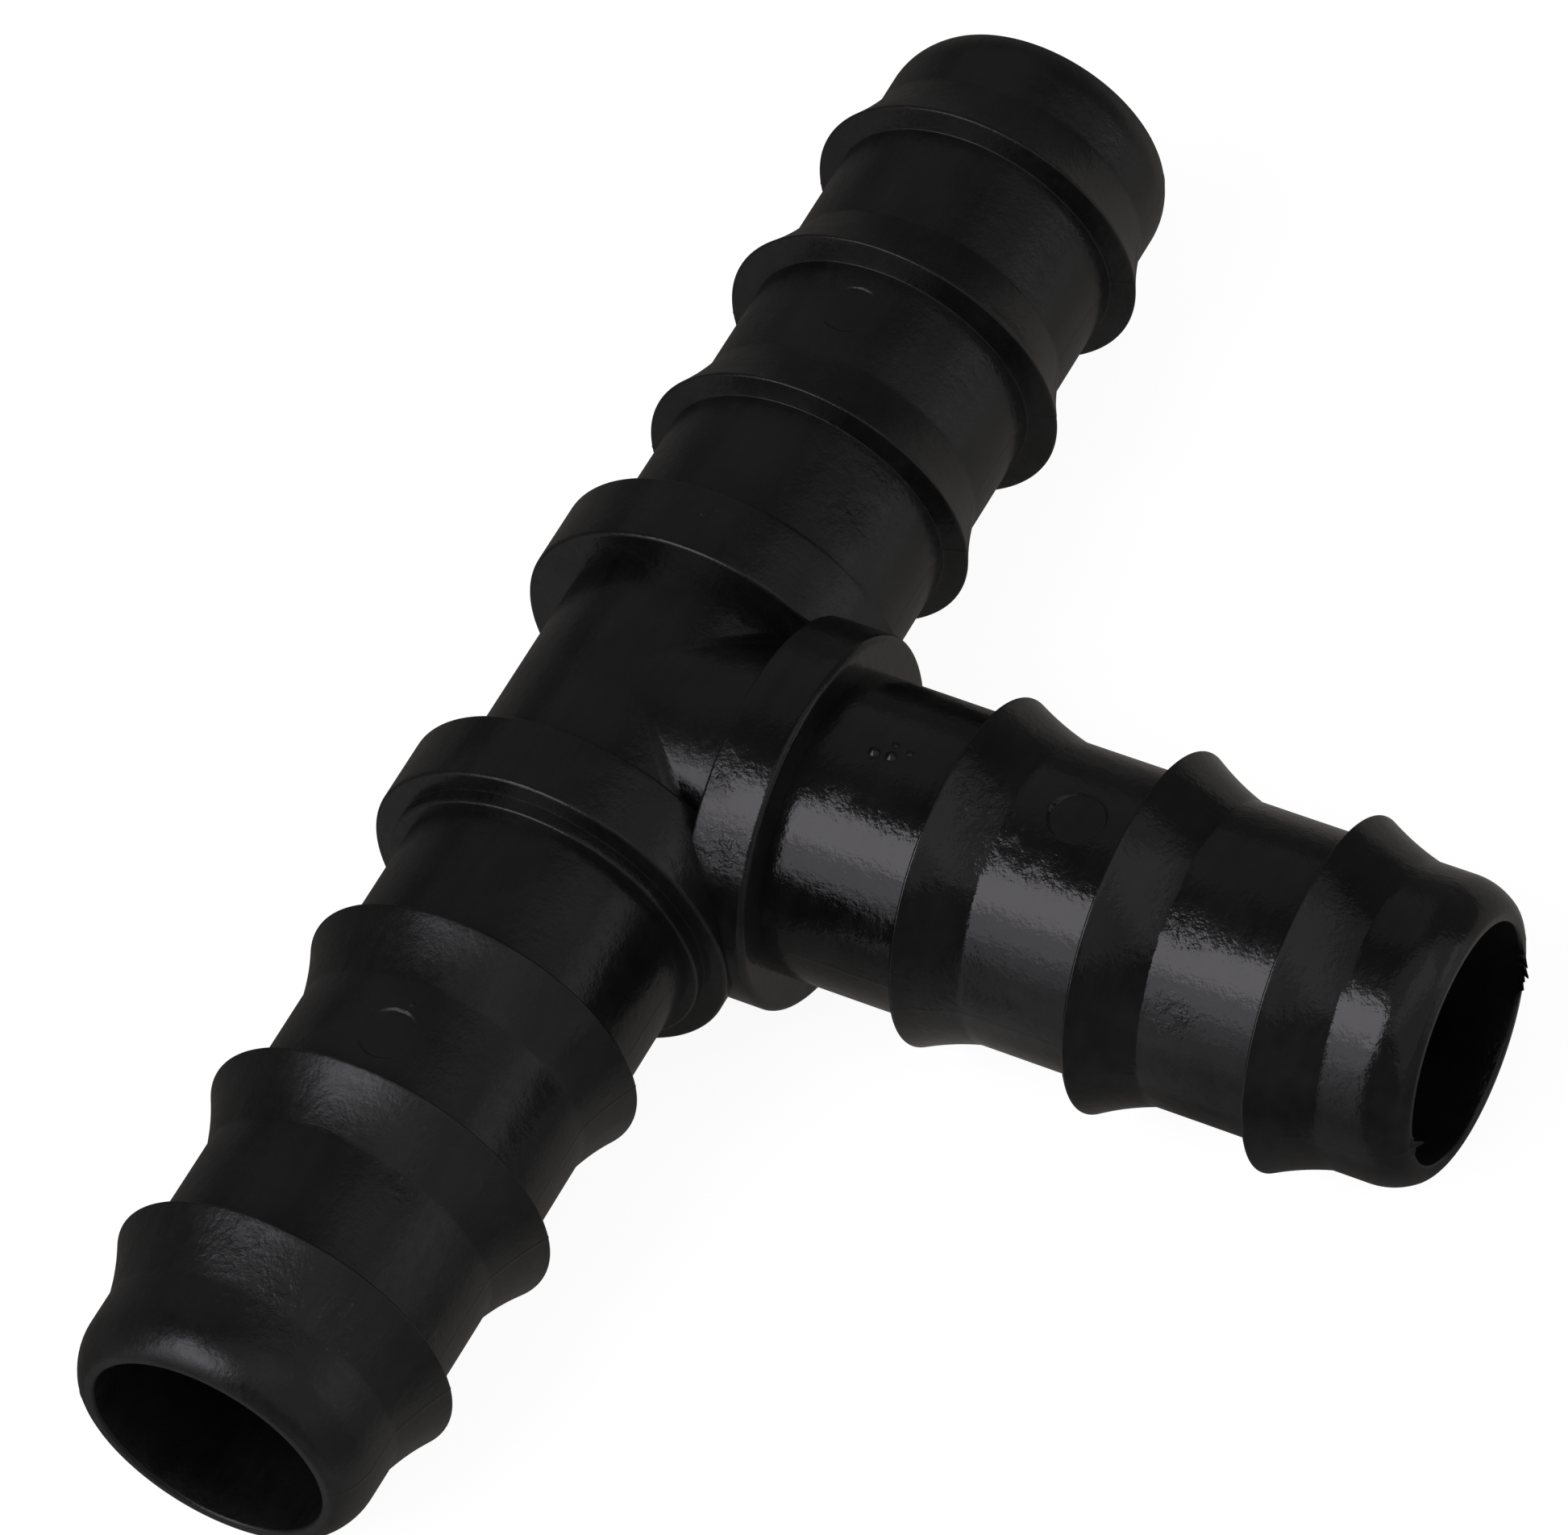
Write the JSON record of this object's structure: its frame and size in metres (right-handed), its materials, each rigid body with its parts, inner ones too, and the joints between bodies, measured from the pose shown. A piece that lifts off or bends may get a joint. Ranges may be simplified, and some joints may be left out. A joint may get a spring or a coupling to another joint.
{
  "type": "barbed tee connector",
  "caption": "Black plastic equal tee with barbed spigots and stop collars, joining three lengths of irrigation pipe.",
  "frame": {"origin": "where the run axis and the branch axis cross, on the centre line of both bores", "axes": "+X along the run towards its right mouth, -Y along the branch towards its mouth, +Z normal to the plane of the tee, on the side with the ejector marks"},
  "size_m": [0.074, 0.0455, 0.0162],
  "materials": {
    "black_plastic": "satin"
  },
  "bodies": {
    "root": {"tee_hub": "black_plastic", "run_spigot_left": "black_plastic", "run_spigot_right": "black_plastic", "branch_spigot": "black_plastic"}
  },
  "joints": []
}
